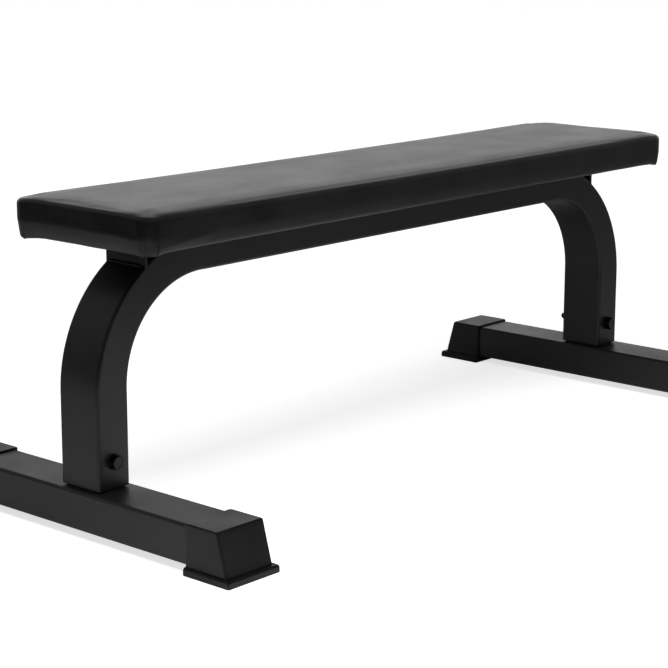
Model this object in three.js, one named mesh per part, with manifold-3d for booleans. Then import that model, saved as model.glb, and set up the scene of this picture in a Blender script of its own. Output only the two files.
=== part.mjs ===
// A fixed flat weight bench: one bent box tube on two cross feet, with an upholstered pad bolted on top.
// Millimetres. X runs along the bench, Y across it and Z up. The origin is on the floor under the middle.

import * as THREE from 'three';
import { mergeVertices } from 'three/addons/utils/BufferGeometryUtils.js';
import Module from 'manifold-3d';

const wasm = await Module();
wasm.setup();

// ---- driving dimensions -------------------------------------------------------------------------

const GAP = 0.3;                // left between pieces that touch

const TUBE_WIDE = 70;           // every structural tube is 70 x 50 with a 2 mm wall
const TUBE_THIN = 50;
const TUBE_WALL = 2;
const TUBE_CORNER = 4;

const FOOT_X = 530;             // centreline of each foot and leg
const BEAM_TOP = 361;
const BEND_RADIUS = 160;        // of the tube's centreline
const BEND_STEPS = 12;
const LEG_GAP = 2;              // the leg stops this far above its foot

const FOOT_UNDERSIDE = 10;      // height of the foot tube above the floor
const FOOT_LENGTH = 488;

const STUB_WIDE = 64;           // inner stub that the leg slides over
const STUB_THIN = 44;
const STUB_WALL = 2.5;
const STUB_HEIGHT = 78;

const CAP_WALL = 2.2;           // over the top of the tube
const CAP_SIDE_WALL = 3.2;
const CAP_INNER_Y = 195.3;      // where the cap starts along the foot
const CAP_TOP_Y = 248.5;        // end face at the top of the slope
const CAP_SLOPE_Y = 263;        // end face at the foot of the slope
const CAP_TOE_Y = 271;          // end of the flared base
const CAP_TOE_X = 43;           // half width of the flared base
const CAP_EDGE = 1.6;           // rounding of the cap's upper edges

const LEG_BOLT_Z = 96;
const PAD_BOLT_X = 442;
const PAD_BOLT_Y = 50;

const BRACKET_PLATE = 4;
const BRACKET_INNER_X = 420;
const BRACKET_OUTER_X = 473.5;
const BRACKET_SPAN = 150;
const BRACKET_BEND = 6;         // outside radius of the folded tab
const TAB_BOTTOM = 326;         // before it is trimmed to the bend

const PAD_LENGTH = 1088;
const PAD_WIDTH = 248;
const PAD_CORNER = 21;          // plan radius of the four corners
const PAD_SHIFT = -6;           // the pad sits a little towards the front
const PAD_TOP = 411;
const PAD_EDGE = 11;            // rounding of the top edge
const VINYL = 1.2;
const LIP = 32;                 // how far the vinyl is pulled in under the board
const DUST_CLOTH = 0.6;
const DUST_INSET = 18;
const DUST_HOLE = 12;
const BOARD = 15;
const BOARD_INSET = 10;         // the foam and the vinyl stand proud of the board all round

const LEG_BOLT = { shank: 10, length: 90, flats: 17, head: 6.4 };
const LEG_WASHER = { outside: 20, bore: 10.8, thickness: 2 };
const LEG_NUT = { flats: 17, bore: 10.6, height: 9.5, collar: 7.4 };
const PAD_BOLT = { shank: 8, length: 20, flats: 13, head: 5.3 };
const PAD_WASHER = { outside: 16, bore: 8.8, thickness: 1.6 };
const T_NUT = { flange: 22, flangeThickness: 1.5, barrel: 10.6, bore: 8.6, depth: 11.5 };
const LEG_HOLE = 11;
const BRACKET_HOLE = 9;

// ---- worked out from them -----------------------------------------------------------------------

const FOOT_TOP = FOOT_UNDERSIDE + TUBE_THIN;
const LEG_BOTTOM = FOOT_TOP + LEG_GAP;
const BEAM_Z = BEAM_TOP - TUBE_THIN / 2;
const BEND_X = FOOT_X - BEND_RADIUS;
const BEND_Z = BEAM_Z - BEND_RADIUS;
const DUST_Z = BEAM_TOP + GAP;
const PAD_BOTTOM = DUST_Z + DUST_CLOTH + GAP;
const BOARD_BOTTOM = PAD_BOTTOM + VINYL + GAP;
const BOARD_TOP = BOARD_BOTTOM + BOARD;

// ---- materials ----------------------------------------------------------------------------------

function material(color, roughness, metalness) {
  return new THREE.MeshStandardMaterial({ color, roughness, metalness });
}

const powderCoat = () => material(0x222224, 0.5, 0.1);
const mouldedBlack = () => material(0x1b1b1c, 0.62, 0);
const vinyl = () => material(0x1e1e20, 0.42, 0);
const blackZinc = () => material(0x3a3a3c, 0.4, 0.9);
const brightZinc = () => material(0xb9bbbd, 0.35, 0.95);
const foam = () => material(0xe6dfc8, 0.95, 0);
const plywood = () => material(0xb98f5e, 0.75, 0);
const cloth = () => material(0x202021, 0.95, 0);

// ---- how finely round things are cut ------------------------------------------------------------

const CORNER_SEGMENTS = 2;      // three.js draws an arc with twice as many
const PAD_SEGMENTS = 3;
const TURNED_SEGMENTS = 20;

// ---- shapes and solids --------------------------------------------------------------------------

function roundedRectangle(width, height, radius, Kind = THREE.Shape) {
  const x = width / 2;
  const y = height / 2;
  const outline = new Kind();
  outline.moveTo(-x + radius, -y);
  outline.lineTo(x - radius, -y);
  outline.absarc(x - radius, -y + radius, radius, -Math.PI / 2, 0);
  outline.lineTo(x, y - radius);
  outline.absarc(x - radius, y - radius, radius, 0, Math.PI / 2);
  outline.lineTo(-x + radius, y);
  outline.absarc(-x + radius, y - radius, radius, Math.PI / 2, Math.PI);
  outline.lineTo(-x, -y + radius);
  outline.absarc(-x + radius, -y + radius, radius, Math.PI, Math.PI * 1.5);
  return outline;
}

function tubeSection(width, height, wall, corner) {
  const section = roundedRectangle(width, height, corner);
  section.holes.push(roundedRectangle(width - 2 * wall, height - 2 * wall, corner - wall, THREE.Path));
  return section;
}

// Extrudes a shape drawn in XY upwards, from one height to another.
function upright(shape, bottom, top, curveSegments = CORNER_SEGMENTS) {
  const depth = top - bottom;
  const geometry = new THREE.ExtrudeGeometry(shape, { depth, bevelEnabled: false, curveSegments });
  return geometry.translate(0, 0, bottom);
}

// Extrudes a shape whose x is X and whose y is Z, centred on Y = 0.
function acrossY(shape, width, curveSegments = CORNER_SEGMENTS) {
  const options = { depth: width, bevelEnabled: false, curveSegments };
  const geometry = new THREE.ExtrudeGeometry(shape, options);
  return geometry.rotateX(Math.PI / 2).translate(0, width / 2, 0);
}

function toSolid(geometry) {
  const bare = geometry.clone();
  bare.deleteAttribute('normal');
  bare.deleteAttribute('uv');
  const merged = mergeVertices(bare, 1e-3);
  const vertProperties = merged.attributes.position.array;
  const triVerts = new Uint32Array(merged.index.array);
  return new wasm.Manifold(new wasm.Mesh({ numProp: 3, vertProperties, triVerts }));
}

function toGeometry(solid) {
  const mesh = solid.getMesh();
  const geometry = new THREE.BufferGeometry();
  geometry.setAttribute('position', new THREE.BufferAttribute(new Float32Array(mesh.vertProperties), 3));
  geometry.setIndex(new THREE.BufferAttribute(new Uint32Array(mesh.triVerts), 1));
  const flat = geometry.toNonIndexed();
  flat.computeVertexNormals();
  return flat;
}

// A vertical cylinder, used as a drill.
function drill(diameter, x, y, bottom, top) {
  const geometry = new THREE.CylinderGeometry(diameter / 2, diameter / 2, top - bottom, TURNED_SEGMENTS);
  return toSolid(geometry.rotateX(Math.PI / 2).translate(x, y, (bottom + top) / 2));
}

// A cylinder across the bench, used as a drill.
function crossDrill(diameter, x, z, width) {
  const geometry = new THREE.CylinderGeometry(diameter / 2, diameter / 2, width, TURNED_SEGMENTS);
  return toSolid(geometry.translate(x, 0, z));
}

function add(parent, name, geometry, finish) {
  const mesh = new THREE.Mesh(geometry, finish);
  mesh.name = name;
  parent.add(mesh);
  return mesh;
}

// ---- main frame ---------------------------------------------------------------------------------

// A curve known only at its stations, so that a straight run is one step and a bend has equal steps.
class StationCurve extends THREE.Curve {
  constructor(stations) {
    super();
    this.stations = stations;
  }
  station(t) {
    return this.stations[Math.round(t * (this.stations.length - 1))];
  }
  getPoint(t, target = new THREE.Vector3()) {
    return target.copy(this.station(t).point);
  }
  getPointAt(t, target) {
    return this.getPoint(t, target);
  }
  getTangent(t, target = new THREE.Vector3()) {
    return target.copy(this.station(t).tangent);
  }
  getTangentAt(t, target) {
    return this.getTangent(t, target);
  }
}

// Up the front leg, round the first bend, along the beam, round the second bend and down the rear leg.
function frameCurve() {
  const stations = [];
  const place = (x, z, tangentX, tangentZ) => stations.push({
    point: new THREE.Vector3(x, 0, z),
    tangent: new THREE.Vector3(tangentX, 0, tangentZ),
  });
  place(-FOOT_X, LEG_BOTTOM, 0, 1);
  for (let step = 0; step <= BEND_STEPS; step++) {
    const angle = (Math.PI / 2) * (step / BEND_STEPS);
    const [sine, cosine] = [Math.sin(angle), Math.cos(angle)];
    place(-BEND_X - BEND_RADIUS * cosine, BEND_Z + BEND_RADIUS * sine, sine, cosine);
  }
  for (let step = 0; step <= BEND_STEPS; step++) {
    const angle = (Math.PI / 2) * (step / BEND_STEPS);
    const [sine, cosine] = [Math.sin(angle), Math.cos(angle)];
    place(BEND_X + BEND_RADIUS * sine, BEND_Z + BEND_RADIUS * cosine, cosine, -sine);
  }
  place(FOOT_X, LEG_BOTTOM, 0, -1);
  return new StationCurve(stations);
}

function alongFrame(section) {
  const extrudePath = frameCurve();
  const steps = extrudePath.stations.length - 1;
  const curveSegments = CORNER_SEGMENTS;
  return new THREE.ExtrudeGeometry(section, { extrudePath, steps, bevelEnabled: false, curveSegments });
}

function mainFrame() {
  let solid = toSolid(alongFrame(tubeSection(TUBE_WIDE, TUBE_THIN, TUBE_WALL, TUBE_CORNER)));
  for (const x of [-FOOT_X, FOOT_X]) {
    solid = solid.subtract(crossDrill(LEG_HOLE, x, LEG_BOLT_Z, TUBE_WIDE + 10));
  }
  return toGeometry(solid);
}

// ---- pieces of one end, made for the rear end and turned round for the front ----------------------

function stabilizerTube() {
  const section = tubeSection(TUBE_WIDE, TUBE_THIN, TUBE_WALL, TUBE_CORNER);
  return acrossY(section, FOOT_LENGTH).translate(0, 0, FOOT_UNDERSIDE + TUBE_THIN / 2);
}

function legStub() {
  const bottom = FOOT_TOP + GAP;
  const section = tubeSection(STUB_THIN, STUB_WIDE, STUB_WALL, TUBE_CORNER);
  const tube = toSolid(upright(section, bottom, bottom + STUB_HEIGHT));
  return toGeometry(tube.subtract(crossDrill(LEG_HOLE, 0, LEG_BOLT_Z, TUBE_WIDE)));
}

// A plate under the pad with a tab folded down against the outside of the bend.
function padBracket() {
  const underside = BEAM_TOP - BRACKET_PLATE;
  const inner = BRACKET_OUTER_X - BRACKET_PLATE;
  const insideBend = BRACKET_BEND - BRACKET_PLATE;
  const fold = BRACKET_OUTER_X - BRACKET_BEND;
  const profile = new THREE.Shape();
  profile.moveTo(BRACKET_INNER_X, underside);
  profile.lineTo(fold, underside);
  profile.absarc(fold, underside - insideBend, insideBend, Math.PI / 2, 0, true);
  profile.lineTo(inner, TAB_BOTTOM);
  profile.lineTo(BRACKET_OUTER_X, TAB_BOTTOM);
  profile.lineTo(BRACKET_OUTER_X, underside - insideBend);
  profile.absarc(fold, underside - insideBend, BRACKET_BEND, 0, Math.PI / 2);
  profile.lineTo(BRACKET_INNER_X, BEAM_TOP);
  const plateLength = fold - BRACKET_INNER_X;
  const wings = upright(roundedRectangle(plateLength, BRACKET_SPAN, 6), underside, BEAM_TOP);
  wings.translate(BRACKET_INNER_X + plateLength / 2, 0, 0);
  const around = roundedRectangle(TUBE_WIDE + 2 * GAP, TUBE_THIN + 2 * GAP, TUBE_CORNER + GAP);
  let solid = toSolid(acrossY(profile, TUBE_WIDE)).add(toSolid(wings)).subtract(toSolid(alongFrame(around)));
  for (const y of [-PAD_BOLT_Y, PAD_BOLT_Y]) {
    solid = solid.subtract(drill(BRACKET_HOLE, PAD_BOLT_X, y, underside - 5, BEAM_TOP + 5));
  }
  return toGeometry(solid);
}

// Slip-over end cap for the +Y end of a foot, with a sloped end face and a flared base.
function footCap() {
  const top = FOOT_TOP + GAP + CAP_WALL;
  const halfWidth = TUBE_WIDE / 2 + GAP + CAP_SIDE_WALL;
  const side = new THREE.Shape();
  side.moveTo(CAP_INNER_Y + CAP_EDGE, CAP_EDGE);
  side.lineTo(CAP_SLOPE_Y - CAP_EDGE, CAP_EDGE);
  side.lineTo(CAP_SLOPE_Y - CAP_EDGE, FOOT_UNDERSIDE);
  side.lineTo(CAP_TOP_Y - CAP_EDGE, top - CAP_EDGE);
  side.lineTo(CAP_INNER_Y + CAP_EDGE, top - CAP_EDGE);
  const depth = 2 * (halfWidth - CAP_EDGE);
  const rounding = { bevelThickness: CAP_EDGE, bevelSize: CAP_EDGE, bevelSegments: 3 };
  const body = new THREE.ExtrudeGeometry(side, { depth, ...rounding });
  body.translate(0, 0, -depth / 2).rotateX(Math.PI / 2).rotateZ(Math.PI / 2);
  const toeLength = CAP_TOE_Y - CAP_INNER_Y;
  const toe = upright(roundedRectangle(2 * CAP_TOE_X, toeLength, 2.5), 0, FOOT_UNDERSIDE - GAP);
  toe.translate(0, CAP_INNER_Y + toeLength / 2, 0);
  const pocket = roundedRectangle(TUBE_WIDE + 2 * GAP, TUBE_THIN + 2 * GAP, TUBE_CORNER + GAP);
  const cavity = acrossY(pocket, FOOT_LENGTH + 2 * GAP).translate(0, 0, FOOT_UNDERSIDE + TUBE_THIN / 2);
  return toGeometry(toSolid(body).add(toSolid(toe)).subtract(toSolid(cavity)));
}

// ---- fasteners, each standing on Z = 0 with its shank or bore along Z ----------------------------

function hexagon(flats) {
  const radius = flats / Math.sqrt(3);
  const outline = new THREE.Shape();
  for (let corner = 0; corner < 6; corner++) {
    const angle = (Math.PI / 3) * corner;
    const draw = corner ? 'lineTo' : 'moveTo';
    outline[draw](radius * Math.cos(angle), radius * Math.sin(angle));
  }
  return outline;
}

function turned(profile) {
  const points = profile.map(([radius, height]) => new THREE.Vector2(radius, height));
  return new THREE.LatheGeometry(points, TURNED_SEGMENTS).rotateX(Math.PI / 2);
}

// A hexagon below Z = 0 whose lower corners are cut back to a 30 degree cone.
function chamferedHexagon(flats, height) {
  const flat = flats / 2;
  const wide = flats / Math.sqrt(3) + 1;
  const rise = (wide - flat) * Math.tan(Math.PI / 6);
  const cone = [[0, -height], [flat, -height], [wide, rise - height], [wide, 1], [0, 1]];
  return toSolid(upright(hexagon(flats), -height - 1, 0)).intersect(toSolid(turned(cone)));
}

// The head hangs below Z = 0 and the shank rises from it.
function hexBolt({ shank, length, flats, head }) {
  const radius = shank / 2;
  const rod = turned([[0, -0.5], [radius, -0.5], [radius, length - 1], [radius - 1, length], [0, length]]);
  return toGeometry(chamferedHexagon(flats, head).add(toSolid(rod)));
}

function washer({ outside, bore, thickness }) {
  const inner = bore / 2;
  const outer = outside / 2;
  return turned([[inner, 0], [outer, 0], [outer, thickness], [inner, thickness], [inner, 0]]);
}

// A hexagon nut with a round locking collar on top.
function lockNut({ flats, bore, height, collar }) {
  const hexHeight = height - 2.5;
  const body = chamferedHexagon(flats, hexHeight).translate([0, 0, hexHeight]);
  const ring = turned([[0, 1], [collar, 1], [collar, height - 0.8], [collar - 0.8, height], [0, height]]);
  return toGeometry(body.add(toSolid(ring)).subtract(drill(bore, 0, 0, -1, height + 1)));
}

// The flange lies on top and the barrel hangs below it.
function teeNut({ flange, flangeThickness, barrel, bore, depth }) {
  const profile = [
    [bore / 2, -depth], [barrel / 2, -depth], [barrel / 2, -flangeThickness],
    [flange / 2, -flangeThickness], [flange / 2, 0], [bore / 2, 0], [bore / 2, -depth],
  ];
  return turned(profile);
}

// ---- pad ----------------------------------------------------------------------------------------

function padOutline(inset) {
  return roundedRectangle(PAD_LENGTH - 2 * inset, PAD_WIDTH - 2 * inset, PAD_CORNER - inset);
}

// A plain slab of the pad's outline.
function slab(inset, bottom, top) {
  return toSolid(upright(padOutline(inset), bottom, top, PAD_SEGMENTS).translate(PAD_SHIFT, 0, 0));
}

// The same slab with its top edge rounded: a slab below and a rounded one above, joined halfway up.
function cushion(inset, bottom, top, edge) {
  const rounding = { bevelThickness: edge, bevelSize: edge, bevelSegments: 3, curveSegments: PAD_SEGMENTS };
  const crown = new THREE.ExtrudeGeometry(padOutline(inset + edge), { depth: edge, ...rounding });
  crown.translate(PAD_SHIFT, 0, top - 2 * edge);
  return toSolid(crown).add(slab(inset, bottom, top - 1.5 * edge));
}

function boltHoles(diameter, bottom, top) {
  const holes = [];
  for (const x of [-PAD_BOLT_X, PAD_BOLT_X]) {
    for (const y of [-PAD_BOLT_Y, PAD_BOLT_Y]) {
      holes.push(drill(diameter, x, y, bottom, top));
    }
  }
  return holes.reduce((all, hole) => all.add(hole));
}

// A skin over the top and sides, turned in under the board and open in the middle of the underside.
function padCover() {
  const outside = cushion(0, PAD_BOTTOM, PAD_TOP, PAD_EDGE);
  const inside = cushion(VINYL, PAD_BOTTOM + VINYL, PAD_TOP - VINYL, PAD_EDGE - VINYL);
  const opening = roundedRectangle(PAD_LENGTH - 2 * LIP, PAD_WIDTH - 2 * LIP, 4);
  const mouth = upright(opening, PAD_BOTTOM - 5, BOARD_TOP).translate(PAD_SHIFT, 0, 0);
  return toGeometry(outside.subtract(inside).subtract(toSolid(mouth)));
}

function foamCore() {
  const inset = VINYL + GAP;
  return toGeometry(cushion(inset, BOARD_TOP + GAP, PAD_TOP - inset, PAD_EDGE - inset));
}

// The T-nut flanges lie in shallow pockets in its top face.
function padBoard() {
  const pocket = T_NUT.flangeThickness + 2 * GAP;
  const board = slab(BOARD_INSET, BOARD_BOTTOM, BOARD_TOP);
  const holes = boltHoles(T_NUT.barrel + 2 * GAP, BOARD_BOTTOM - 5, BOARD_TOP + 5);
  const pockets = boltHoles(T_NUT.flange + 2 * GAP, BOARD_TOP - pocket, BOARD_TOP + 5);
  return toGeometry(board.subtract(holes).subtract(pockets));
}

function dustCover() {
  const sheet = slab(DUST_INSET, DUST_Z, DUST_Z + DUST_CLOTH);
  return toGeometry(sheet.subtract(boltHoles(DUST_HOLE, DUST_Z - 5, DUST_Z + 5)));
}

// ---- assembly -----------------------------------------------------------------------------------

const bench = new THREE.Group();

add(bench, 'main_frame', mainFrame(), powderCoat());

// The two ends are alike, so the pieces of the front end are those of the rear end turned half round.
for (const [end, along] of [['front', -1], ['rear', 1]]) {
  const turn = along < 0 ? Math.PI : 0;
  const half = new THREE.Group();
  half.rotation.z = turn;
  bench.add(half);
  add(half, `pad_bracket_${end}`, padBracket(), powderCoat());

  const foot = new THREE.Group();
  foot.position.x = FOOT_X;
  half.add(foot);
  add(foot, `stabilizer_${end}`, stabilizerTube(), powderCoat());
  add(foot, `leg_stub_${end}`, legStub(), powderCoat());

  for (const [side, across] of [['left', 1], ['right', -1]]) {
    const cap = add(foot, `foot_cap_${end}_${side}`, footCap(), mouldedBlack());
    cap.rotation.z = across === along ? 0 : Math.PI;

    const fastener = new THREE.Group();
    fastener.position.set(PAD_BOLT_X, PAD_BOLT_Y * across * along, BEAM_TOP);
    half.add(fastener);
    const washerZ = -BRACKET_PLATE - GAP - PAD_WASHER.thickness;
    add(fastener, `pad_washer_${end}_${side}`, washer(PAD_WASHER), brightZinc()).position.z = washerZ;
    add(fastener, `pad_bolt_${end}_${side}`, hexBolt(PAD_BOLT), brightZinc()).position.z = washerZ - GAP;
    const nutZ = BOARD_TOP - GAP - BEAM_TOP;
    add(fastener, `t_nut_${end}_${side}`, teeNut(T_NUT), brightZinc()).position.z = nutZ;
  }

  // The leg bolt goes in from the right, so its head is on the right face and its nut on the left one.
  const joint = new THREE.Group();
  joint.position.set(FOOT_X * along, 0, LEG_BOLT_Z);
  joint.rotation.x = -Math.PI / 2;
  bench.add(joint);
  const face = TUBE_WIDE / 2 + GAP;
  const seat = face + LEG_WASHER.thickness + GAP;
  add(joint, `leg_washer_${end}_head`, washer(LEG_WASHER), blackZinc()).position.z = GAP - seat;
  add(joint, `leg_bolt_${end}`, hexBolt(LEG_BOLT), blackZinc()).position.z = -seat;
  add(joint, `leg_washer_${end}_nut`, washer(LEG_WASHER), blackZinc()).position.z = face;
  add(joint, `leg_nut_${end}`, lockNut(LEG_NUT), blackZinc()).position.z = seat;
}

add(bench, 'pad_cover', padCover(), vinyl());
add(bench, 'foam_core', foamCore(), foam());
add(bench, 'pad_board', padBoard(), plywood());
add(bench, 'dust_cover', dustCover(), cloth());

export default bench;
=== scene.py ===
"""Looks of a flat weight bench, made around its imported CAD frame.

Everything is in metres in the frame of the part: +X runs along the bench to the rear foot, +Y to its
left, +Z up, and the origin is on the floor midway. Sizes come from the boxes of the CAD nodes and from
the driving dimensions below.
"""

import math
from math import cos, pi, radians, sin, sqrt, tan, tau

import bmesh
import bpy
from mathutils import Matrix, Vector, noise


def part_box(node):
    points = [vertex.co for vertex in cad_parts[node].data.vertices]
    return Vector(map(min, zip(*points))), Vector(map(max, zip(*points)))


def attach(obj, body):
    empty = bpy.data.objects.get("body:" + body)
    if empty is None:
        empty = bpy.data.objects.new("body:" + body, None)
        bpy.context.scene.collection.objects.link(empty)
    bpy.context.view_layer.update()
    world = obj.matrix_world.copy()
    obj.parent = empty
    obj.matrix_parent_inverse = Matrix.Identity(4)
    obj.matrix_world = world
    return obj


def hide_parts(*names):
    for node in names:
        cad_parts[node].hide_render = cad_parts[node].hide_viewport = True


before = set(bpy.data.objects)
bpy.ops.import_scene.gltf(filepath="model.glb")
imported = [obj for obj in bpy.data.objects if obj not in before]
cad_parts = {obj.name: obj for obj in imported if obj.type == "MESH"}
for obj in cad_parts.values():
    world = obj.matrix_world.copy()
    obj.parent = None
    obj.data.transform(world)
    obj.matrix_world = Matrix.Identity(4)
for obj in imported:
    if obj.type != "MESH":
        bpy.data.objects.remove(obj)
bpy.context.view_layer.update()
scene = bpy.context.scene

MM = 0.001

# ---- driving dimensions --------------------------------------------------------------------------

TUBE_WALL = 2 * MM
TUBE_CORNER = 4 * MM
BEND_RADIUS = 160 * MM
BEND_STEPS = 48                 # facets of each bend
BEND_SINK = 3 * MM              # how far the inner wall of a bend sinks in when the tube is bent
STUB_WALL = 2.5 * MM
LEG_HOLE = 11 * MM              # for the M10 leg bolts
PAD_HOLE = 9 * MM               # for the M8 pad bolts

CAP_SLOPE_RUN = 14.5 * MM       # how far the end face leans in on its way up
CAP_TOE = 8 * MM                # how far the base flares past the end face
CAP_FLARE = 4.5 * MM            # and past the side faces
CAP_BASE = 9.7 * MM             # thickness of the flared base
FLANGE_ROUND = 3.2 * MM         # radius round the top of that base
CAP_TOP_ROUND = 2.2 * MM
CAP_CORNER = 3 * MM             # radius of the upright corners

PLATE = 4 * MM
PLATE_BEND = 6 * MM
TAB_WIDE = 70 * MM
WING_CORNER = 6 * MM

PAD_CORNER = 21 * MM
VINYL = 1.2 * MM
LIP = 32 * MM                   # width of the vinyl that is turned under the board

# ---- places read from the frame ------------------------------------------------------------------

tube_low, tube_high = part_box("main_frame")
foot_low, foot_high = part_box("stabilizer_rear")
cap_low, cap_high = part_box("foot_cap_rear_left")
plate_low, plate_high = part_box("pad_bracket_rear")
pad_low, pad_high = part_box("pad_cover")

TUBE_WIDE = tube_high.y - tube_low.y
TUBE_THIN = foot_high.z - foot_low.z
LEG_X = tube_high.x - TUBE_THIN / 2
LEG_BOTTOM = tube_low.z
BEAM_TOP = tube_high.z
BEND_X = LEG_X - BEND_RADIUS
BEND_Z = BEAM_TOP - TUBE_THIN / 2 - BEND_RADIUS
FOOT_BOTTOM = foot_low.z
FOOT_TOP = foot_high.z
FOOT_HALF = foot_high.y
ENDS = {"front": -1, "rear": 1}
SIDES = {"left": 1, "right": -1}


# ---- small helpers -------------------------------------------------------------------------------

def smooth(low, high, value):
    """0 below low, 1 above high and an even ease between them."""
    share = min(1.0, max(0.0, (value - low) / (high - low)))
    return share * share * (3 - 2 * share)


def mix(a, b, share):
    return a + (b - a) * share


def rounded_rectangle(width, height, radius, steps=6):
    """Points (u, v) of a rounded rectangle, once round its centre."""
    points = []
    for quarter in range(4):
        u = (width / 2 - radius) * (1 if quarter in (0, 3) else -1)
        v = (height / 2 - radius) * (1 if quarter in (0, 1) else -1)
        for step in range(steps + 1):
            angle = (quarter + step / steps) * pi / 2
            points.append((u + radius * cos(angle), v + radius * sin(angle)))
    return points


def loft(bm, rings, closed=False):
    """Skins rings of equally many points, and joins the last to the first when closed."""
    rows = [[bm.verts.new(point) for point in ring] for ring in rings]
    nexts = rows[1:] + (rows[:1] if closed else [])
    for row, following in zip(rows, nexts):
        for i in range(len(row)):
            j = (i + 1) % len(row)
            bm.faces.new((row[i], row[j], following[j], following[i]))
    return rows


def capped(bm, rings):
    """Skins rings into a solid with a flat face at both ends."""
    rows = loft(bm, rings)
    bm.faces.new(rows[0])
    bm.faces.new(rows[-1])
    return rows


def to_mesh(bm, name):
    bmesh.ops.recalc_face_normals(bm, faces=bm.faces)
    mesh = bpy.data.meshes.new(name)
    bm.to_mesh(mesh)
    bm.free()
    return mesh


def reshaped(mesh, add_modifiers):
    """The mesh after the modifiers that add_modifiers puts on an object that holds it."""
    block = bpy.data.objects.new("work_block", mesh)
    scene.collection.objects.link(block)
    add_modifiers(block)
    result = bpy.data.meshes.new_from_object(block.evaluated_get(bpy.context.evaluated_depsgraph_get()))
    result.name = mesh.name
    bpy.data.objects.remove(block)
    bpy.data.meshes.remove(mesh)
    return result


def cut(mesh, cutters):
    """The mesh with the cutters taken out of it."""
    tools = [bpy.data.objects.new("cut_tool", cutter) for cutter in cutters]

    def add_cuts(block):
        for tool in tools:
            scene.collection.objects.link(tool)
            modifier = block.modifiers.new("cut", "BOOLEAN")
            modifier.operation = "DIFFERENCE"
            modifier.solver = "EXACT"
            modifier.object = tool

    result = reshaped(mesh, add_cuts)
    for tool in tools:
        data = tool.data
        bpy.data.objects.remove(tool)
        bpy.data.meshes.remove(data)
    return result


def rod_mesh(start, end, radius, segments=48):
    """A plain rod from start to end, for cutting holes."""
    bm = bmesh.new()
    axis = (end - start).normalized()
    across = axis.orthogonal().normalized()
    other = axis.cross(across)
    rings = []
    for centre in (start, end):
        angles = [tau * (i + 0.5) / segments for i in range(segments)]
        rings.append([centre + (across * cos(a) + other * sin(a)) * radius for a in angles])
    capped(bm, rings)
    return to_mesh(bm, "cut_rod")


def turned_to(mesh, along, across=1):
    """A rear piece's mesh mirrored to the end and side asked for."""
    mesh.transform(Matrix.Diagonal((along, across, 1, 1)))
    if along * across < 0:
        mesh.flip_normals()
    return mesh


def middle_of(node):
    """Centre of a CAD node's box."""
    low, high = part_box(node)
    return (low + high) / 2


def tube(bm, stations, width, height, wall):
    """An open-ended box tube through the stations.

    A station is (centre, direction of the width, direction of the height) and may add how far the
    wall at the low end of the height has sunk in.
    """
    outside = rounded_rectangle(width, height, TUBE_CORNER)
    inside = rounded_rectangle(width - 2 * wall, height - 2 * wall, TUBE_CORNER - wall)

    def ring(outline, centre, across, out, sink=0.0):
        return [centre + across * u + out * (v if v > 0 else v + sink) for u, v in outline]

    rings = [ring(outside, *station) for station in stations]
    back = [ring(inside, *station) for station in stations]
    loft(bm, rings + back[::-1], closed=True)


def shown(name, mesh, material, slot, *nodes, sharp=35):
    """Links a mesh as a finished piece of the bench, in place of the CAD nodes named."""
    piece = bpy.data.objects.new(name, mesh)
    scene.collection.objects.link(piece)
    mesh.materials.clear()
    mesh.materials.append(material)
    mesh.shade_smooth()
    mesh.set_sharp_from_angle(angle=radians(sharp))
    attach(piece, "root")
    if nodes:
        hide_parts(*nodes)
    return piece


def soften(piece, width, segments=2, angle=35):
    """Rounds a piece's sharp edges and keeps its flat faces flat in the shading."""
    bevel = piece.modifiers.new("edges", "BEVEL")
    bevel.width = width
    bevel.segments = segments
    bevel.limit_method = "ANGLE"
    bevel.angle_limit = radians(angle)
    bevel.use_clamp_overlap = True
    bevel.harden_normals = False
    flatten(piece)
    return piece


def flatten(piece):
    weighted = piece.modifiers.new("flat_faces", "WEIGHTED_NORMAL")
    weighted.keep_sharp = True
    weighted.weight = 60
    return piece


# ---- camera --------------------------------------------------------------------------------------

CAMERA_PLACE = (-2.0654, -1.7599, 0.7734)
CAMERA_TURNS = (-48.237, 12.431, 0.088)     # azimuth, elevation and roll in degrees
CAMERA_LENS = 105.94                        # millimetres, on a sensor 36 mm wide
CAMERA_SHIFT = (0.00277, -0.01497)


def make_camera():
    """A long lens from the front right, a little above the pad."""
    azimuth, elevation, roll = (radians(turn) for turn in CAMERA_TURNS)
    back = Vector((sin(azimuth) * cos(elevation), -cos(azimuth) * cos(elevation), sin(elevation)))
    level = Vector((cos(azimuth), sin(azimuth), 0))
    right = cos(roll) * level + sin(roll) * back.cross(level)
    up = back.cross(right)
    data = bpy.data.cameras.new("camera")
    data.sensor_width = 36
    data.lens = CAMERA_LENS
    data.shift_x, data.shift_y = CAMERA_SHIFT
    data.clip_end = 100
    camera = bpy.data.objects.new("camera", data)
    turn = Matrix((right, up, back)).transposed().to_4x4()
    camera.matrix_world = Matrix.Translation(CAMERA_PLACE) @ turn
    scene.collection.objects.link(camera)
    scene.camera = camera


# ---- floor and light -----------------------------------------------------------------------------

FLOOR_NEAR_X = -1.30            # the white floor ends here, towards the camera
FLOOR_NEAR_Y = -0.92
FLOOR_FAR = 8.0
SOFTBOX_SIZE = (1.6, 1.2)
SOFTBOX_WATTS = 31
SOFTBOX_PLACE = (-0.5, -0.55, 1.4)


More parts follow.
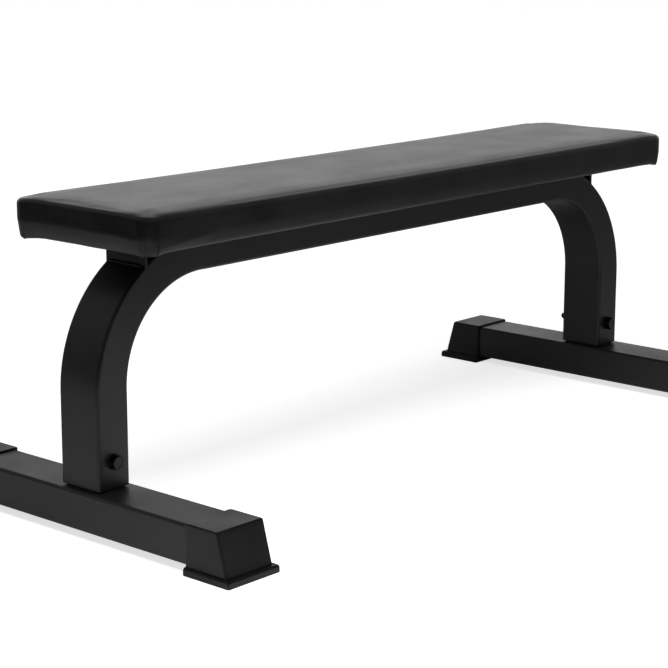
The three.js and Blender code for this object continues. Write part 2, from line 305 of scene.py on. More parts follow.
def make_studio():
    """White floor, a softbox overhead, and soft surroundings that are bright behind the bench."""
    scene.view_settings.view_transform = "Standard"
    bm = bmesh.new()
    near = [(FLOOR_NEAR_X, FLOOR_NEAR_Y), (FLOOR_FAR, FLOOR_NEAR_Y)]
    far = [(FLOOR_FAR, FLOOR_FAR), (FLOOR_NEAR_X, FLOOR_FAR)]
    bm.faces.new([bm.verts.new((x, y, 0)) for x, y in near + far])
    floor = bpy.data.objects.new("studio_floor", to_mesh(bm, "studio_floor"))
    scene.collection.objects.link(floor)
    floor.data.materials.append(floor_material())

    box = bpy.data.lights.new("softbox", "AREA")
    box.shape = "RECTANGLE"
    box.size, box.size_y = SOFTBOX_SIZE
    box.energy = SOFTBOX_WATTS
    overhead = bpy.data.objects.new("softbox", box)
    overhead.location = SOFTBOX_PLACE
    overhead.visible_glossy = False
    scene.collection.objects.link(overhead)

    make_surroundings()


def make_surroundings():
    """White to the eye; in reflections a low wall behind the bench and a dim lamp high on its left."""
    world = bpy.data.worlds.new("studio")
    scene.world = world
    world.use_nodes = True
    world.node_tree.nodes.clear()
    nodes = Nodes(world.node_tree)
    ray = nodes.node("ShaderNodeTexCoord").outputs["Generated"]

    def facing(direction, low, high, bright):
        """Rises to bright as a ray turns towards the direction, from a cosine of low to one of high."""
        turned = nodes.node("ShaderNodeVectorMath", operation="DOT_PRODUCT")
        turned.inputs[1].default_value = direction
        nodes.link(ray, turned.inputs[0])
        return nodes.between(turned.outputs["Value"], low, high, 0.0, bright, "SMOOTHSTEP")

    def background(colour):
        made = nodes.node("ShaderNodeBackground")
        made.inputs["Color"].default_value = (*colour, 1)
        return made

    low_down = facing((0, 0, 1), 0.62, 0.30, 1.0)
    wall = nodes.sum(facing((0.75, 0.66, 0), 0.1, 0.8, 0.95), low_down, "MULTIPLY")
    lamp = facing((-0.53, 0.47, 0.71), 0.72, 0.93, 0.20)
    room = facing((0, 0, 1), -2.0, 2.0, 0.028)
    lit, plain = background((1.0, 0.99, 0.98)), background((1, 1, 1))
    nodes.link(nodes.sum(nodes.sum(wall, lamp), room), lit.inputs["Strength"])
    pictured = nodes.node("ShaderNodeLightPath").outputs["Is Camera Ray"]
    shader = nodes.mixed(pictured, lit.outputs["Background"], plain.outputs["Background"])
    nodes.link(shader, nodes.node("ShaderNodeOutputWorld").inputs["Surface"])


# ---- materials -----------------------------------------------------------------------------------

class Nodes:
    """Short ways to add nodes to a shader's tree and join them."""

    def __init__(self, tree):
        self.tree = tree

    def node(self, kind, **settings):
        made = self.tree.nodes.new(kind)
        for key, value in settings.items():
            setattr(made, key, value)
        return made

    def link(self, source, target):
        self.tree.links.new(source, target)

    def between(self, value, low, high, start=0.0, end=1.0, ease="LINEAR"):
        """Maps low..high of a value to start..end."""
        made = self.node("ShaderNodeMapRange", interpolation_type=ease)
        for socket, bound in zip(made.inputs[1:5], (low, high, start, end)):
            socket.default_value = bound
        self.link(value, made.inputs["Value"])
        return made.outputs["Result"]

    def sum(self, first, second, operation="ADD"):
        made = self.node("ShaderNodeMath", operation=operation)
        for value, socket in zip((first, second), made.inputs):
            if isinstance(value, (int, float)):
                socket.default_value = value
            else:
                self.link(value, socket)
        return made.outputs["Value"]

    def mixed(self, share, first, second):
        """Shader that changes from the first to the second as share goes from 0 to 1."""
        made = self.node("ShaderNodeMixShader")
        for source, socket in zip((share, first, second), made.inputs):
            self.link(source, socket)
        return made.outputs["Shader"]


class Finish(Nodes):
    """One procedural material, built up from noise, bump and colour layers in object space."""

    def __init__(self, name, roughness, metallic=0.0, specular=0.5):
        self.material = bpy.data.materials.new(name)
        self.material.use_nodes = True
        super().__init__(self.material.node_tree)
        self.shader = self.tree.nodes["Principled BSDF"]
        self.shader.inputs["Metallic"].default_value = metallic
        self.shader.inputs["Specular IOR Level"].default_value = specular
        self.shader.inputs["Roughness"].default_value = roughness
        self.place = self.node("ShaderNodeTexCoord").outputs["Object"]
        self.normal = None

    def stretched(self, scale):
        """Object coordinates scaled differently along X, Y and Z."""
        mapping = self.node("ShaderNodeMapping")
        mapping.inputs["Scale"].default_value = scale
        self.link(self.place, mapping.inputs["Vector"])
        return mapping.outputs["Vector"]

    def noise(self, scale, detail=3.0, rough=0.5, vector=None):
        made = self.node("ShaderNodeTexNoise")
        made.inputs["Scale"].default_value = scale
        made.inputs["Detail"].default_value = detail
        made.inputs["Roughness"].default_value = rough
        self.link(vector or self.place, made.inputs["Vector"])
        return made.outputs["Fac"]

    def cells(self, scale, feature="F1", vector=None):
        made = self.node("ShaderNodeTexVoronoi", feature=feature)
        made.inputs["Scale"].default_value = scale
        self.link(vector or self.place, made.inputs["Vector"])
        return made.outputs["Distance"]

    def colour(self, value, stops):
        """Base colour from a ramp; stops are (position, (red, green, blue))."""
        ramp = self.node("ShaderNodeValToRGB").color_ramp
        node = self.tree.nodes[-1]
        while len(ramp.elements) < len(stops):
            ramp.elements.new(1.0)
        for element, (position, rgb) in zip(ramp.elements, stops):
            element.position = position
            element.color = (*rgb, 1)
        self.link(value, node.inputs["Fac"])
        self.link(node.outputs["Color"], self.shader.inputs["Base Color"])

    def rough(self, value, low, high, smoothest, roughest):
        self.link(self.between(value, low, high, smoothest, roughest), self.shader.inputs["Roughness"])

    def bump(self, height, distance, strength=1.0):
        """Adds a height map, its full range being distance deep."""
        made = self.node("ShaderNodeBump")
        made.inputs["Distance"].default_value = distance
        made.inputs["Strength"].default_value = strength
        self.link(height, made.inputs["Height"])
        if self.normal:
            self.link(self.normal, made.inputs["Normal"])
        self.normal = made.outputs["Normal"]
        self.link(self.normal, self.shader.inputs["Normal"])


def floor_material():
    """Matt white that glows in the picture, so only the deepest shadow shows; clear from below."""
    finish = Finish("studio_white", 0.9, specular=0.0)
    finish.colour(finish.noise(0.8), [(0.0, (0.78, 0.78, 0.78)), (1.0, (0.81, 0.81, 0.81))])
    finish.shader.inputs["Emission Color"].default_value = (1, 1, 1, 1)
    pictured = finish.node("ShaderNodeLightPath").outputs["Is Camera Ray"]
    distance = finish.node("ShaderNodeVectorMath", operation="LENGTH")
    finish.link(finish.place, distance.inputs[0])
    glow = finish.between(distance.outputs["Value"], 0.7, 2.2, 0.70, 1.0)
    finish.link(finish.sum(glow, pictured, "MULTIPLY"), finish.shader.inputs["Emission Strength"])
    behind = finish.node("ShaderNodeNewGeometry").outputs["Backfacing"]
    clear = finish.node("ShaderNodeBsdfTransparent").outputs["BSDF"]
    from_below = finish.sum(behind, pictured, "MULTIPLY")
    shader = finish.mixed(from_below, finish.shader.outputs["BSDF"], clear)
    finish.link(shader, finish.tree.nodes["Material Output"].inputs["Surface"])
    return finish.material


def vinyl_material():
    """Black upholstery vinyl: fine pebbled grain, faint stretch marks along the pad, uneven sheen."""
    finish = Finish("black_vinyl", 0.36, specular=0.31)
    mottle = finish.noise(14, 5, 0.6)
    drawn = finish.noise(6, 4, 0.55, finish.stretched((1.0, 2.2, 2.2)))
    finish.colour(mottle, [(0.3, (0.0052, 0.0052, 0.0058)), (0.75, (0.0105, 0.0103, 0.0104))])
    finish.rough(finish.sum(mottle, drawn), 0.6, 1.4, 0.29, 0.39)
    pebbles = finish.cells(900, "SMOOTH_F1")
    finish.bump(drawn, 0.0010, 0.2)
    finish.bump(finish.noise(260, 3, 0.6), 0.00012, 0.5)
    finish.bump(pebbles, 0.00010, 0.55)
    return finish.material


def powder_material():
    """Black powder coat: satin, with orange peel and a little unevenness in its gloss."""
    finish = Finish("black_powder_coat", 0.42, specular=0.42)
    drift = finish.noise(9, 4, 0.55)
    finish.colour(drift, [(0.3, (0.0060, 0.0060, 0.0066)), (0.75, (0.0105, 0.0103, 0.0104))])
    finish.rough(drift, 0.3, 0.7, 0.37, 0.48)
    finish.bump(finish.noise(420, 2, 0.5), 0.00009, 0.6)
    finish.bump(finish.noise(1500, 2, 0.6), 0.00003, 0.5)
    return finish.material


def cap_material():
    """Moulded black plastic with a fine spark-eroded grain."""
    finish = Finish("moulded_black_plastic", 0.42, specular=0.30)
    drift = finish.noise(22, 4, 0.6)
    finish.colour(drift, [(0.3, (0.0038, 0.0038, 0.0041)), (0.75, (0.0064, 0.0063, 0.0062))])
    finish.rough(drift, 0.3, 0.7, 0.36, 0.48)
    finish.bump(finish.noise(1100, 4, 0.7), 0.00007, 0.6)
    finish.bump(finish.noise(60, 2, 0.5), 0.00025, 0.25)
    return finish.material


def zinc_material(name, dark, light, smoothest, roughest):
    """Plated steel with a crystalline mottle and fine turning marks."""
    finish = Finish(name, 0.4, metallic=1.0)
    mottle = finish.noise(420, 4, 0.65)
    finish.colour(mottle, [(0.3, dark), (0.75, light)])
    finish.rough(mottle, 0.3, 0.7, smoothest, roughest)
    finish.bump(finish.noise(1600, 3, 0.6, finish.stretched((1.0, 0.15, 1.0))), 0.00004, 0.5)
    return finish.material


def plywood_material():
    """Plywood: plies as bands up its edge, grain and pores along its length."""
    finish = Finish("plywood", 0.72, specular=0.3)
    grain = finish.noise(60, 6, 0.65, finish.stretched((0.12, 1.0, 1.0)))
    plies = finish.node("ShaderNodeTexWave", wave_type="BANDS", bands_direction="Z")
    plies.inputs["Scale"].default_value = 52
    plies.inputs["Distortion"].default_value = 0.6
    finish.link(finish.place, plies.inputs["Vector"])
    shade = finish.sum(grain, finish.sum(plies.outputs["Fac"], 0.35, "MULTIPLY"))
    stops = [(0.35, (0.23, 0.13, 0.06)), (0.6, (0.46, 0.30, 0.15)), (0.95, (0.60, 0.43, 0.24))]
    finish.colour(shade, stops)
    finish.rough(grain, 0.3, 0.7, 0.62, 0.82)
    finish.bump(grain, 0.0004, 0.6)
    return finish.material


def foam_material():
    """Open-cell polyurethane foam."""
    finish = Finish("cream_foam", 0.95, specular=0.15)
    pores = finish.cells(650)
    # The colour is darkest in the pits of the pores, where the bump is lowest, and lighter on their rims:
    # painted shade in the pits.
    finish.colour(pores, [(0.05, (0.52, 0.44, 0.28)), (0.6, (0.80, 0.74, 0.58))])
    finish.rough(pores, 0.0, 0.7, 0.98, 0.88)
    finish.bump(pores, 0.0008, 0.8)
    return finish.material


def dust_material():
    """Thin non-woven cloth: pressed fibres with a grid of weld points."""
    finish = Finish("black_dust_cloth", 0.95, specular=0.12)
    fibres = finish.noise(900, 5, 0.75, finish.stretched((1.0, 0.35, 1.0)))
    dots = finish.cells(420)
    finish.colour(fibres, [(0.3, (0.008, 0.008, 0.009)), (0.7, (0.030, 0.030, 0.032))])
    finish.rough(fibres, 0.3, 0.7, 0.88, 0.99)
    finish.bump(dots, 0.0002, 0.7)
    finish.bump(fibres, 0.0001, 0.8)
    return finish.material


# ---- box tube frame and feet ---------------------------------------------------------------------

def frame_stations():
    """Up the front leg, round its bend, along the beam, round the rear bend and down the rear leg."""
    across = Vector((0, 1, 0))
    stations = [(Vector((-LEG_X, 0, LEG_BOTTOM)), across, Vector((-1, 0, 0)))]
    for end in (-1, 1):
        for step in range(BEND_STEPS + 1):
            share = step / BEND_STEPS
            angle = (share if end < 0 else 1 - share) * pi / 2
            out = Vector((end * cos(angle), 0, sin(angle)))
            centre = Vector((end * BEND_X, 0, BEND_Z)) + out * BEND_RADIUS
            stations.append((centre, across, out, BEND_SINK * sin(2 * angle)))
    stations.append((Vector((LEG_X, 0, LEG_BOTTOM)), across, Vector((1, 0, 0))))
    return stations


def leg_hole(end):
    """Cutter for the hole of a leg bolt, right across the bench."""
    centre = middle_of(f"leg_bolt_{end}")
    reach = Vector((0, TUBE_WIDE, 0))
    centre.y = 0
    return rod_mesh(centre - reach, centre + reach, LEG_HOLE / 2)


def make_frame(powder):
    bm = bmesh.new()
    tube(bm, frame_stations(), TUBE_WIDE, TUBE_THIN, TUBE_WALL)
    holes = [leg_hole(end) for end in ENDS]
    piece = shown("bent_frame_tube", cut(to_mesh(bm, "bent_frame_tube"), holes), powder, "powder_coat",
                  "main_frame")
    soften(piece, 0.35 * MM, angle=60)


def make_feet(powder):
    """The tube across under each leg, and the stub that stands on it inside the leg."""
    for end, sign in ENDS.items():
        bm = bmesh.new()
        width, up = Vector((1, 0, 0)), Vector((0, 0, 1))
        middle = Vector((sign * LEG_X, 0, (FOOT_BOTTOM + FOOT_TOP) / 2))
        stations = [(middle + Vector((0, y, 0)), width, up) for y in (-FOOT_HALF, 0, FOOT_HALF)]
        tube(bm, stations, TUBE_WIDE, TUBE_THIN, TUBE_WALL)
        foot = shown(f"foot_tube_{end}", to_mesh(bm, "foot_tube"), powder, "powder_coat",
                     f"stabilizer_{end}")
        soften(foot, 0.35 * MM, angle=60)

        bm = bmesh.new()
        low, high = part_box(f"leg_stub_{end}")
        centre = (low + high) / 2
        stations = [(Vector((centre.x, 0, z)), width, Vector((0, 1, 0))) for z in (low.z, high.z)]
        tube(bm, stations, high.x - low.x, high.y - low.y, STUB_WALL)
        mesh = cut(to_mesh(bm, "stub_tube"), [leg_hole(end)])
        stub = shown(f"stub_tube_{end}", mesh, powder, "powder_coat", f"leg_stub_{end}")
        soften(stub, 0.4 * MM, angle=60)


def cap_mesh():
    """Foot cap for the +Y end of the rear foot: sloped end face, flared base and a pocket for the tube."""
    inner, toe = cap_low.y, cap_high.y
    top = cap_high.z
    end_face = toe - CAP_TOE
    middle = (cap_low.x + cap_high.x) / 2
    base = (cap_high.x - cap_low.x) / 2
    body = base - CAP_FLARE

    def level(z, half, outer, back=0.0, radius=2.5 * MM):
        length = outer - inner - back
        outline = rounded_rectangle(2 * half, length, radius)
        return [Vector((middle + u, inner + back + length / 2 + v, z)) for u, v in outline]

    def slope(z):
        return end_face - CAP_SLOPE_RUN * (z - CAP_BASE) / (top - CAP_BASE)

    rings = [level(0, base - 1.2 * MM, toe - 1.2 * MM, 1.2 * MM, 2 * MM),
             level(0.35 * MM, base - 0.35 * MM, toe - 0.35 * MM, 0.35 * MM),
             level(1.2 * MM, base, toe),
             level(CAP_BASE - FLANGE_ROUND, base, toe)]
    for step in range(1, 6):
        turn = step / 5 * radians(80)
        pull = FLANGE_ROUND * (1 - cos(turn))
        height = CAP_BASE - FLANGE_ROUND + FLANGE_ROUND * sin(turn)
        rings.append(level(height, base - pull, toe - pull, 0.0, CAP_CORNER))
    for below, past in ((0.7 * MM, 0.9 * MM), (0.4 * MM, 0.1 * MM)):
        rings.append(level(CAP_BASE - below, body + past, slope(CAP_BASE) + past, 0.0, CAP_CORNER))
    for height in (CAP_BASE + 1.2 * MM, 0.018, 0.030, 0.042, 0.054, top - CAP_TOP_ROUND):
        rings.append(level(height, body, slope(height), 0.0, CAP_CORNER))
    for step in range(1, 6):
        turn = step / 5 * pi / 2
        pull = CAP_TOP_ROUND * (1 - cos(turn))
        height = top - CAP_TOP_ROUND + CAP_TOP_ROUND * sin(turn)
        rings.append(level(height, body - pull, slope(height) - pull, pull * 0.4, CAP_CORNER))
    bm = bmesh.new()
    capped(bm, rings)

    gap = 0.3 * MM
    pocket = bmesh.new()
    outline = rounded_rectangle(TUBE_WIDE + 2 * gap, TUBE_THIN + 2 * gap, TUBE_CORNER + gap)
    centre_z = (FOOT_BOTTOM + FOOT_TOP) / 2
    capped(pocket, [[Vector((middle + u, y, centre_z + v)) for u, v in outline]
                    for y in (inner - 0.02, FOOT_HALF + gap)])
    cutters = [to_mesh(pocket, "pocket")]
    for groove in range(5):
        y = inner + (groove + 1) * (toe - inner) / 6
        cutters.append(slot_mesh(middle, y, base - 6 * MM, 2.2 * MM, 1.1 * MM))
    return cut(to_mesh(bm, "cap"), cutters)


def slot_mesh(x, y, half_length, width, depth):
    """A round-ended tread groove across the underside of a cap."""
    bm = bmesh.new()
    outline = rounded_rectangle(2 * half_length, width, width / 2.05)
    capped(bm, [[Vector((x + u, y + v, z)) for u, v in outline] for z in (-0.01, depth)])
    return to_mesh(bm, "groove")


def make_caps(plastic):
    pattern = cap_mesh()
    for end, along in ENDS.items():
        for side, across in SIDES.items():
            mesh = turned_to(pattern.copy(), along, across)
            piece = shown(f"end_cap_{end}_{side}", mesh, plastic, "cap_plastic", f"foot_cap_{end}_{side}")
            soften(piece, 0.35 * MM, angle=50)


# ---- brackets and welds --------------------------------------------------------------------------

def bracket_sheet():
    """Middle surface of the rear bracket: wings under the pad, and a tab folded down over the bend."""
    inner, outer = plate_low.x, plate_high.x
    half_span, half_tab = plate_high.y, TAB_WIDE / 2
    radius = PLATE_BEND - PLATE / 2
    fold = outer - PLATE_BEND
    top = BEAM_TOP - PLATE / 2
    flat, bend = fold - inner, radius * pi / 2
    drop = top - radius - plate_low.z

    def folded(s, y):
        """Place of the point s along the blank and y across it."""
        if s <= flat:
            return Vector((inner + s, y, top))
        if s <= flat + bend:
            angle = (s - flat) / radius
            return Vector((fold + radius * sin(angle), y, top - radius * (1 - cos(angle))))
        return Vector((outer - PLATE / 2, y, top - radius - (s - flat - bend)))

    def reach(s):
        """How far a wing reaches, with its corners rounded."""
        short = WING_CORNER - min(s, flat - s)
        if short <= 0:
            return half_span
        return half_span - WING_CORNER + sqrt(max(0.0, WING_CORNER**2 - short**2))

    corner = [WING_CORNER * (1 - cos(step / 6 * pi / 2)) for step in range(7)]
    rows = corner + [flat / 2] + [flat - c for c in corner[::-1]]
    folds = [flat + bend * (step + 1) / 8 for step in range(8)]
    tail = [flat + bend + drop * (step + 1) / 4 for step in range(4)]
    inside = [step / 10 * half_tab for step in range(-10, 11)]
    shares = [(step + 1) / 8 for step in range(8)]
    bm = bmesh.new()
    strip = [[bm.verts.new(folded(s, y)) for y in inside] for s in rows + folds + tail]
    sheets = [strip]
    for side, edge in ((-1, 0), (1, -1)):
        wing = []
        for s, joined in zip(rows, strip):
            line = [bm.verts.new(folded(s, side * mix(half_tab, reach(s), share))) for share in shares]
            wing.append([joined[edge], *line])
        sheets.append(wing)
    for sheet in sheets:
        for row, following in zip(sheet, sheet[1:]):
            for i in range(len(row) - 1):
                bm.faces.new((row[i], row[i + 1], following[i + 1], following[i]))
    return to_mesh(bm, "bracket")


def add_plate(block):
    """Thickens a middle surface evenly to both sides."""
    thick = block.modifiers.new("plate", "SOLIDIFY")
    thick.thickness = PLATE
    thick.offset = 0
    thick.use_even_offset = True


def joined_up(mesh):
    """The mesh with its flat faces in one piece each, so that its edges can be rounded."""
    bm = bmesh.new()
    bm.from_mesh(mesh)
    bmesh.ops.remove_doubles(bm, verts=bm.verts, dist=0.02 * MM)
    bmesh.ops.dissolve_limit(bm, angle_limit=radians(0.5), verts=bm.verts, edges=bm.edges)
    bm.to_mesh(mesh)
    bm.free()
    return mesh


def pad_hole(end, side, height, diameter):
    """Cutter for the hole of a pad bolt in a sheet at the height given."""
    centre = middle_of(f"pad_bolt_{end}_{side}")
    centre.z = height
    reach = Vector((0, 0, 20 * MM))
    return rod_mesh(centre - reach, centre + reach, diameter / 2)


def make_brackets(powder):
    for end, sign in ENDS.items():
        holes = [pad_hole("rear", side, BEAM_TOP, PAD_HOLE) for side in SIDES]
        mesh = turned_to(joined_up(cut(reshaped(bracket_sheet(), add_plate), holes)), sign)
        piece = shown(f"bracket_plate_{end}", mesh, powder, "powder_coat", f"pad_bracket_{end}")
        soften(piece, 0.5 * MM, angle=50)


def bead(bm, path, proud, radius, segments=10):
    """A rippled weld bead along a path; proud is the way it bulges at each point."""
    ripple = 1.9 * MM
    travelled = 0.0
    rings = []
    for i, point in enumerate(path):
        travelled += (point - path[i - 1]).length if i else 0.0
        along = (path[min(i + 1, len(path) - 1)] - path[max(i - 1, 0)]).normalized()
        side = along.cross(proud[i]).normalized()
        from_middle = abs(2 * i / (len(path) - 1) - 1)
        wave = 1 + 0.12 * cos(tau * travelled / ripple) + 0.30 * noise.noise(point * 200)
        size = radius * wave * max(0.2, sqrt(max(0.0, 1 - from_middle**10)))
        angles = [tau * k / segments for k in range(segments)]
        rings.append([point + (side * cos(a) * 1.3 + proud[i] * sin(a)) * size for a in angles])
    capped(bm, rings)


def line_points(start, end, step=0.45 * MM):
    count = max(4, round((end - start).length / step))
    return [start.lerp(end, i / count) for i in range(count + 1)]


def on_bend(x):
    """Height of the outside of the bend at x, and the way it faces there."""
    radius = BEND_RADIUS + TUBE_THIN / 2
    rise = sqrt(radius**2 - (x - BEND_X) ** 2)
    return BEND_Z + rise, Vector((x - BEND_X, 0, rise)).normalized()


def make_welds(powder):
    """Beads that hold each bracket to its bend, and each stub to its foot."""
    for end, sign in ENDS.items():
        bm = bmesh.new()
        height, facing = on_bend(plate_high.x + 0.5 * MM)
        half = TAB_WIDE / 2 - 4 * MM
        start = Vector((plate_high.x + 0.3 * MM, -half, height + 0.2 * MM))
        path = line_points(start, Vector((start.x, half, start.z)))
        path = [p + Vector((0, 0, 0.7 * MM * noise.noise(p * 90))) for p in path]
        bead(bm, path, [facing] * len(path), 1.9 * MM)
        for side in SIDES.values():
            xs = [plate_low.x + 3 * MM + i * 0.45 * MM for i in range(60)]
            path = [Vector((x, side * (TUBE_WIDE / 2 - 1.2 * MM), on_bend(x)[0] - 0.6 * MM)) for x in xs]
            bead(bm, path, [Vector((0, side * 0.7, 0.7))] * len(path), 1.6 * MM)
        mesh = turned_to(to_mesh(bm, "bracket_weld"), sign)
        shown(f"bracket_weld_{end}", mesh, powder, "powder_coat", sharp=80)

        bm = bmesh.new()
        low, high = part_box(f"leg_stub_{end}")
        centre = (low + high) / 2
        reach = (high - low) / 2
        for x, y in ((1, 0), (0, 1), (-1, 0), (0, -1)):
            middle = Vector((centre.x + x * reach.x, y * reach.y, FOOT_TOP + 0.5 * MM))
            run = Vector((0, reach.y - 6 * MM, 0)) if x else Vector((reach.x - 6 * MM, 0, 0))
            path = line_points(middle - run, middle + run)
            out = Vector((x * 0.6, y * 0.6, 0.8))
            bead(bm, path, [out] * len(path), 0.9 * MM)
        shown(f"stub_weld_{end}", to_mesh(bm, "stub_weld"), powder, "powder_coat", sharp=80)


# ---- fasteners -----------------------------------------------------------------------------------

TURN_STEPS = 96
M10 = {"shank": 10 * MM, "flats": 17 * MM, "head": 6.4 * MM, "pitch": 1.5 * MM}
M8 = {"shank": 8 * MM, "flats": 13 * MM, "head": 5.3 * MM, "pitch": 1.25 * MM}
LEG_BOLT_TURNS = {"front": 13, "rear": 41}     # degrees that the hexagons were left at


def hexagon_radius(flats, angle):
    """Distance from the axis to the side of a hexagon, in the direction of the angle."""
    inside = (angle % (pi / 3)) - pi / 6
    return flats / 2 / cos(inside)


def spun(bm, profile, closed):
    """Turns a profile about +Z; each entry gives (radius, height) or a function of the angle that does."""
    angles = [tau * i / TURN_STEPS for i in range(TURN_STEPS)]
    rings = []
    for entry in profile:
        pairs = [entry(a) if callable(entry) else entry for a in angles]
        rings.append([Vector((r * cos(a), r * sin(a), z)) for a, (r, z) in zip(angles, pairs)])
    if closed:
        loft(bm, rings, closed=True)
    else:
        capped(bm, rings)


def hex_side(flats, height):
    """Profile entries up the side of a hexagon and over the 30 degree chamfer at its top."""
    flat = flats / 2 * 0.985

    def foot(angle):
        return hexagon_radius(flats, angle), 0.0

    def shoulder(angle):
        radius = hexagon_radius(flats, angle)
        return radius, height - (radius - flat) * tan(pi / 6)

    return [foot, shoulder, (flat, height)]


def threaded(start, end, major, pitch, rings_per_turn=8):
    """Profile entries of a screw thread from one height to another."""
    depth = 0.61 * pitch
    entries = []
    count = round((end - start) / pitch * rings_per_turn)
    for i in range(count + 1):
        height = mix(start, end, i / count)
        fade = smooth(0, 1.5 * pitch, end - height)

        def ring(angle, height=height, fade=fade):
            phase = (height / pitch - angle / tau) % 1
            groove = 1 - abs(2 * phase - 1)
            return major / 2 - depth * min(1.0, 1.25 * groove) * fade - (1 - fade) * 0.6 * pitch, height

        entries.append(ring)
    return entries


def bolt_mesh(size, length, thread):
    """Head below Z = 0 and shank above it, threaded over its last stretch."""
    shank, flats, head, pitch = (size[key] for key in ("shank", "flats", "head", "pitch"))
    bm = bmesh.new()
    side = hex_side(flats, head)

    def flipped(entry):
        if callable(entry):
            return lambda angle: (entry(angle)[0], -entry(angle)[1])
        return entry[0], -entry[1]

    dish = [(flats * 0.36, -head), (flats * 0.33, -head + 0.25 * MM)]
    profile = dish[::-1] + [flipped(entry) for entry in side[::-1]]
    profile += [(flats * 0.46, 0.0), (shank / 2 + 0.3 * MM, 0.0), (shank / 2, 0.3 * MM)]
    profile += threaded(length - thread, length - 0.4 * MM, shank, pitch)
    profile.append((shank / 2 - 0.85 * pitch, length))
    spun(bm, profile, closed=False)
    return to_mesh(bm, "bolt")


def washer_mesh(outside, bore, thickness):
    bm = bmesh.new()
    lip = 0.25 * MM
    r, b, t = outside / 2, bore / 2, thickness
    profile = [(b, lip), (b + lip, 0), (r - lip, 0), (r, lip), (r, t - lip), (r - lip, t), (b + lip, t),
               (b, t - lip)]
    spun(bm, profile, closed=True)
    return to_mesh(bm, "washer")


def nut_mesh(flats, bore, height, collar):
    """A lock nut: chamfered hexagon, round collar and the nylon ring's step inside it."""
    bm = bmesh.new()
    hexagon_height = height - 2.5 * MM
    profile = [(bore / 2 + 0.5 * MM, 0.0), (flats * 0.46, 0.0)]
    profile += hex_side(flats, hexagon_height)
    profile += [(collar, hexagon_height), (collar, height - 0.8 * MM)]
    profile += [(collar - 0.25 * MM, height - 0.25 * MM), (collar - 0.8 * MM, height)]
    profile += [(bore / 2 + 0.9 * MM, height), (bore / 2 + 0.7 * MM, height - 0.5 * MM)]
    profile += [(bore / 2, height - 0.7 * MM), (bore / 2, 0.5 * MM)]
    spun(bm, profile, closed=True)
    return to_mesh(bm, "nut")


def tee_nut_mesh(flange, flange_thickness, barrel, bore, depth):
    """Flange on top and barrel below it, with its edges eased."""
    bm = bmesh.new()
    ease = 0.25 * MM
    profile = [(bore / 2, -depth), (barrel / 2, -depth), (barrel / 2, -flange_thickness - ease),
               (barrel / 2 + ease, -flange_thickness), (flange / 2 - ease, -flange_thickness),
               (flange / 2, -flange_thickness + ease), (flange / 2, -ease), (flange / 2 - ease, 0.0),
               (bore / 2 + 3 * ease, 0.0), (bore / 2, -3 * ease)]
    spun(bm, profile, closed=True)
    return to_mesh(bm, "tee_nut")


def fastener(node, mesh, turn, axis, material, slot, seat=0.0):
    """A turned fastener in place of its CAD node, its own Z = 0 lying seat past the low end of the box."""
    low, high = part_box(node)
    place = (low + high) / 2
    place[axis] = low[axis] + seat
    mesh.transform(Matrix.Translation(place) @ turn)
    flatten(shown(f"{node}_turned", mesh, material, slot, node, sharp=22))


def extent(node):
    low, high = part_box(node)
    return high - low


def make_fasteners(dark_zinc, bright_zinc):
    to_left = Matrix.Rotation(-pi / 2, 4, "X")
    dark, bright = (1, dark_zinc, "black_zinc"), (2, bright_zinc, "bright_zinc")
    for end in ENDS:
        spin = to_left @ Matrix.Rotation(radians(LEG_BOLT_TURNS[end]), 4, "Z")
        node = f"leg_bolt_{end}"
        bolt = bolt_mesh(M10, extent(node).y - M10["head"], 32 * MM)
        fastener(node, bolt, spin, *dark, seat=M10["head"])
        for place in ("head", "nut"):
            node = f"leg_washer_{end}_{place}"
            size = extent(node)
            fastener(node, washer_mesh(size.x, 10.8 * MM, size.y), to_left, *dark)
        node = f"leg_nut_{end}"
        nut = nut_mesh(M10["flats"], 10.6 * MM, extent(node).y, 7.4 * MM)
        fastener(node, nut, spin, *dark)

        for number, side in enumerate(SIDES):
            node = f"pad_bolt_{end}_{side}"
            spin = Matrix.Rotation(radians(17 + 24 * number), 4, "Z")
            bolt = bolt_mesh(M8, extent(node).z - M8["head"], 18 * MM)
            fastener(node, bolt, spin, *bright, seat=M8["head"])
            node = f"pad_washer_{end}_{side}"
            size = extent(node)
            fastener(node, washer_mesh(size.x, 8.8 * MM, size.z), Matrix(), *bright)
            node = f"t_nut_{end}_{side}"
            size = extent(node)
            nut = tee_nut_mesh(size.x, 1.5 * MM, 10.6 * MM, 8.6 * MM, size.z)
            fastener(node, nut, Matrix(), *bright, seat=size.z)


# ---- pad -----------------------------------------------------------------------------------------

SIDE_DROP = 4.5 * MM            # how far the crown has fallen at the long edges
END_DROP = 3.2 * MM             # and at the ends
SIDE_ROLL_OFF = 46 * MM         # width of the band in which it falls
END_ROLL_OFF = 45 * MM
END_RIM = 6 * MM                # radius of the top edge across the ends, where the vinyl is tightest
SIDE_RIM = 8 * MM               # and along the sides
RIM_TURN = radians(74)          # how far that radius turns before the top takes over
ROLL = 5 * MM                   # radius where the vinyl turns under the board
PULL_IN_ENDS = 4 * MM           # how far the foot of the ends is drawn in over the board's edge
PULL_IN_SIDES = 1.4 * MM
FOOT_TALL = 15 * MM             # height of that drawn-in foot
HELD_RINGS = 12                 # rings of the lip and the roll, which the staples hold
END_DROOP = 3.2 * MM            # how far the turned-under vinyl hangs below the board across the ends
CORNER_DROOPS = {1: 4 * MM, -1: 0.8 * MM}   # and at the corners, where more is gathered on the left
WAIST_SIDES = 1.5 * MM          # how far the sides are drawn in between the corners
WAIST_ENDS = 0.8 * MM
SAG = 1.8 * MM                  # how far the middle of the top has been sat down
PLEAT_ANGLE = radians(36)       # where the folds stand, from the middle of each corner
PLEAT_TALL = 13 * MM            # how far up the corner they reach
STAPLE_STEP = 38 * MM
DUST_HOLE = 12 * MM             # holes in it for the pad bolts

